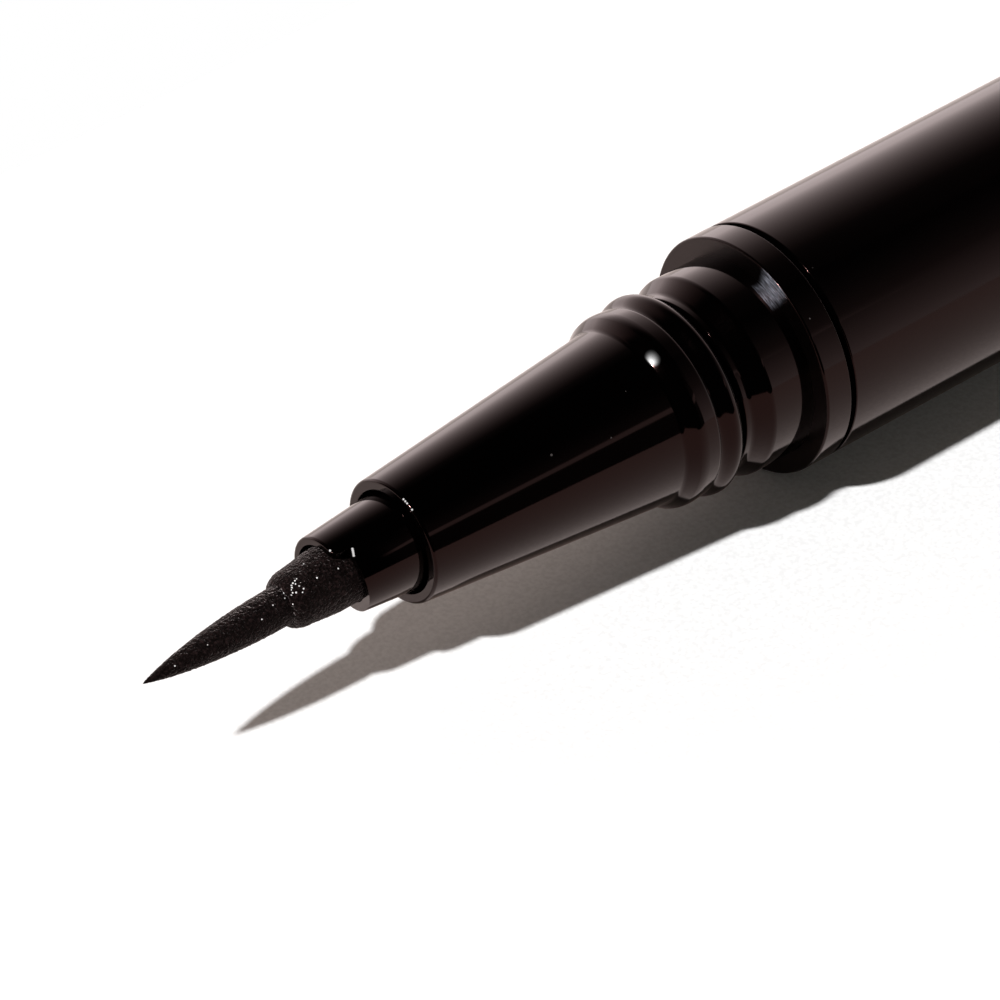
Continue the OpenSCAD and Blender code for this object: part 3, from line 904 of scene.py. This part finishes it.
class EYELINER_OT_inner_cap(bpy.types.Operator):
    """Model the sprung inner cap that seals on the cone"""

    bl_idname = "eyeliner.inner_cap"
    bl_label = "Inner cap"

    def execute(self, context):
        size = context.scene.eyeliner_sizes
        mouth, end, guide = span("inner_cap")
        seal = size.cone_foot_radius + SLIDE_GAP
        inner = seal - size.seal_taper
        outer = inner + size.inner_cap_wall
        front_edge = mouth + size.inner_cap_setback
        seal_end = mouth + size.seal_length
        ring = seal_end + 2 * size.guide_length
        floor = end - 2 * size.inner_cap_wall
        rear_ring = floor - 2 * size.guide_length
        bm = turned([
            corner(front_edge, seal, size.edge / 2),
            corner(front_edge, outer, size.edge),
            corner(ring, outer),
            corner(ring, guide),
            corner(ring + size.guide_length, guide),
            corner(ring + size.guide_length, outer),
            corner(rear_ring, outer),
            corner(rear_ring, guide),
            corner(rear_ring + size.guide_length, guide),
            corner(rear_ring + size.guide_length, outer),
            corner(end, outer, size.edge),
            corner(end, 0),
            corner(floor, 0),
            corner(floor, inner),
            corner(seal_end, inner),
        ])
        look = context.scene.eyeliner_finishes
        plastic = plain_moulding("inner_cap_plastic", look.milky, roughness=0.42)
        piece = new_piece(bm, "inner_cap_cup", plastic)
        fit(piece, "inner_cap", "inner_cap_plastic", "inner_cap")
        return {"FINISHED"}


class EYELINER_OT_inner_works(bpy.types.Operator):
    """Give the parts inside the barrel and the cap their finishes"""

    bl_idname = "eyeliner.inner_works"
    bl_label = "Inner works"

    def execute(self, context):
        look = context.scene.eyeliner_finishes
        dark_rubber, soaked_fibre = (0.02, 0.02, 0.021), (0.03, 0.022, 0.02)
        milky = plain_moulding("collector_plastic", look.milky, roughness=0.5)
        rubber = plain_moulding("seal_rubber", dark_rubber, roughness=0.55)
        fibre = plain_moulding("feed_fibre", soaked_fibre, roughness=0.8, grain=0.8, stretch=(0.1, 1, 1))
        steel = plain_moulding("polished_steel", look.steel, roughness=0.12, grain=0.1, metallic=1.0)
        wire = plain_moulding("drawn_wire", look.steel, roughness=0.25, grain=0.2, metallic=1.0)
        finishes = {
            "collector": milky, "ball_seat": milky, "feed_rod": fibre, "tail_seal": rubber,
            "front_seal": rubber, "mixing_ball": steel, "cap_spring": wire,
        }
        for node, material in finishes.items():
            dress_node(node, material)
        return {"FINISHED"}


def paper_material(colour):
    """White paper with a faint grain and a few dark specks."""
    # Waves or cells per metre, and how dark the grain and the specks are
    grain_waves, speck_cells, speck_radius = 5000.0, 45.0, 0.07 * MM
    darkest, speck_share, speck_grey = 0.88, 0.3, (0.1, 0.1, 0.1)
    warm_white = (0.86, 0.75, 0.72)
    material, tree, shader = new_material("white_paper")
    grain = remap(tree, object_noise(tree, grain_waves, roughness=0.6), 0.35, 0.65)
    mixed = mix(tree, grain, tinted(colour, darkest), colour)
    speck = calc(tree, "MULTIPLY", dust_mask(tree, speck_cells, speck_radius), speck_share)
    mixed = mix(tree, speck, mixed, speck_grey)
    # Reflected paper is a little warmer, as it is seen in the plastic
    warm = mix(tree, 1.0, mixed, warm_white, "MULTIPLY")
    glossy = add(tree, "ShaderNodeLightPath").outputs["Is Glossy Ray"]
    tree.links.new(mix(tree, glossy, mixed, warm), shader.inputs["Base Color"])
    shader.inputs["Roughness"].default_value = 1.0
    shader.inputs["Specular IOR Level"].default_value = 0.0
    return material


def scaled(tree, colour, strength):
    """The colour times a strength."""
    node = add(tree, "ShaderNodeVectorMath", {0: colour, "Scale": strength}, operation="SCALE")
    return node.outputs[0]


def surroundings(world, studio):
    """Walls of the studio as the pen sees them: a white far wall, a greyer near wall, a dark ceiling."""
    # In degrees: the rise that the walls' brightness is given for, and turns round the pen
    lowest, highest = -30, 90
    far_middle, far_fade = -122.0, (60.0, 74.0)
    stand_step, stand_ends, stand_soft = (26.4, 26.8), (121.0, 127.5), 0.4
    stand_start = (104.0, 112.0)
    world.use_nodes = True
    tree = world.node_tree
    tree.nodes.clear()
    way = add(tree, "ShaderNodeTexCoord").outputs["Generated"]
    axes = add(tree, "ShaderNodeSeparateXYZ", {0: way}).outputs
    rise = calc(tree, "DEGREES", calc(tree, "ARCSINE", axes["Z"]))
    turn = calc(tree, "DEGREES", calc(tree, "ARCTAN2", axes["Y"], axes["X"]))
    far = ramp(tree, rise, [
        (-30, 0.5), (-12, 0.7), (-5, 0.85), (1, 1.0), (8, 0.8), (14, 0.66), (21, 0.52), (26, 0.43),
        (37, 0.23), (45, 0.11), (52, 0.03), (60, 0.0),
    ], lowest, highest)
    near = ramp(tree, rise, [
        (-30, 0.8), (1, 1.0), (9, 0.77), (17, 0.58), (25, 0.38), (32, 0.21), (39, 0.14), (45, 0.08),
        (53, 0.02), (58, 0.0),
    ], lowest, highest)
    stand = ramp(tree, rise, [
        (-30, 0.05), (24.2, 0.05), (25.4, 0.85), (29.4, 0.85), (30.8, 0.1), (38, 0.07), (45, 0.03),
        (55, 0.0),
    ], lowest, highest)
    # Share of the far wall: one behind the pen as the camera sees it, fading out to both sides
    off_far = calc(tree, "WRAP", calc(tree, "ADD", turn, -far_middle), 180.0, -180.0)
    off_far = calc(tree, "ABSOLUTE", off_far)
    is_far = remap(tree, off_far, *far_fade, 1.0, 0.0, "SMOOTHSTEP")
    # The dark stand covers all of the camera's side in front of the nib, and reaches further at its top
    past_end = calc(tree, "SUBTRACT", turn, remap(tree, rise, *stand_step, *stand_ends))
    is_stand = remap(tree, past_end, -stand_soft, stand_soft, 1.0, 0.0)
    stand = calc(tree, "MULTIPLY", stand, remap(tree, turn, *stand_start))
    near_side = scaled(tree, mix(tree, is_stand, near, stand), studio.near_wall)
    far_side = scaled(tree, mix(tree, 1.0, far, studio.far_tint, "MULTIPLY"), studio.far_wall)
    walls = mix(tree, is_far, near_side, far_side)
    # Matt surfaces get the light of the walls at a share and a tint of their own
    rays = add(tree, "ShaderNodeLightPath").outputs
    share = calc(tree, "MULTIPLY_ADD", is_far, studio.ambient - studio.near_ambient, studio.near_ambient)
    dimmed = add(
        tree, "ShaderNodeVectorMath", {0: scaled(tree, walls, share), 1: studio.fill_tint},
        operation="MULTIPLY",
    ).outputs[0]
    walls = mix(tree, rays["Is Diffuse Ray"], walls, dimmed)
    seen = calc(tree, "MAXIMUM", rays["Is Camera Ray"], rays["Is Transmission Ray"])
    shown = mix(tree, seen, walls, (1.0, 1.0, 1.0))
    backdrop = add(tree, "ShaderNodeBackground", {"Color": shown, "Strength": 1.0})
    out = add(tree, "ShaderNodeOutputWorld")
    tree.links.new(backdrop.outputs[0], out.inputs["Surface"])


class EYELINER_OT_stage(bpy.types.Operator):
    """Set up the paper, the key light, the surroundings and the camera"""

    bl_idname = "eyeliner.stage"
    bl_label = "Stage"

    def execute(self, context):
        scene = context.scene
        studio = scene.eyeliner_studio
        # In millimetres: the sheet ends a little beyond the pen and reaches far on the camera's side
        half_width, middle, gap = 700.0, (100.0, 665.0), 0.004
        bm = bmesh.new()
        bmesh.ops.create_grid(bm, x_segments=1, y_segments=1, size=half_width)
        floor = -span("barrel")[2] / MM - gap
        bmesh.ops.translate(bm, vec=(*middle, floor), verts=bm.verts)
        paper = new_piece(bm, "paper", paper_material(studio.paper))

        key = bpy.data.lights.new("key", "SUN")
        key.energy = studio.key
        key.angle = studio.key_spread
        lamp = bpy.data.objects.new("key", key)
        lamp.rotation_euler = Vector(TOWARD_KEY).to_track_quat("Z", "Y").to_euler()
        scene.collection.objects.link(lamp)

        scene.world = bpy.data.worlds.new("studio")
        surroundings(scene.world, studio)

        lens = bpy.data.cameras.new("camera")
        lens.sensor_width = 36.0
        lens.lens = CAMERA_LENS
        camera = bpy.data.objects.new("camera", lens)
        camera.location = CAMERA_PLACE
        camera.rotation_euler = Vector(CAMERA_LOOK).to_track_quat("-Z", "Y").to_euler()
        scene.collection.objects.link(camera)
        scene.camera = camera
        scene.view_settings.view_transform = "Standard"
        return {"FINISHED"}


class EYELINER_PT_pieces(bpy.types.Panel):
    """Sidebar panel that lists the pen's pieces, sizes and finishes"""

    bl_idname = "EYELINER_PT_pieces"
    bl_label = "Eyeliner pen"
    bl_space_type = "VIEW_3D"
    bl_region_type = "UI"
    bl_category = "Eyeliner pen"

    def draw(self, context):
        layout = self.layout
        for operator in OPERATORS:
            layout.operator(operator.bl_idname)
        for name in GROUPS:
            group = getattr(context.scene, name)
            box = layout.box()
            for prop in group.bl_rna.properties:
                if prop.identifier not in ("rna_type", "name"):
                    box.prop(group, prop.identifier)


OPERATORS = (
    EYELINER_OT_barrel, EYELINER_OT_tail_plug, EYELINER_OT_front_section, EYELINER_OT_nib_holder,
    EYELINER_OT_nib, EYELINER_OT_cap, EYELINER_OT_inner_cap, EYELINER_OT_inner_works, EYELINER_OT_stage,
)
GROUPS = {
    "eyeliner_sizes": EyelinerSizes,
    "eyeliner_finishes": EyelinerFinishes,
    "eyeliner_studio": EyelinerStudio,
}


def register():
    for name, group in GROUPS.items():
        bpy.utils.register_class(group)
        setattr(bpy.types.Scene, name, bpy.props.PointerProperty(type=group))
    for operator in OPERATORS:
        bpy.utils.register_class(operator)
    bpy.utils.register_class(EYELINER_PT_pieces)


def unregister():
    bpy.utils.unregister_class(EYELINER_PT_pieces)
    for operator in reversed(OPERATORS):
        bpy.utils.unregister_class(operator)
    for name, group in GROUPS.items():
        delattr(bpy.types.Scene, name)
        bpy.utils.unregister_class(group)


def main():
    register()
    bpy.ops.eyeliner.barrel()
    bpy.ops.eyeliner.tail_plug()
    bpy.ops.eyeliner.front_section()
    bpy.ops.eyeliner.nib_holder()
    bpy.ops.eyeliner.nib()
    bpy.ops.eyeliner.cap()
    bpy.ops.eyeliner.inner_cap()
    bpy.ops.eyeliner.inner_works()
    bpy.ops.eyeliner.stage()


if __name__ == "__main__":
    main()
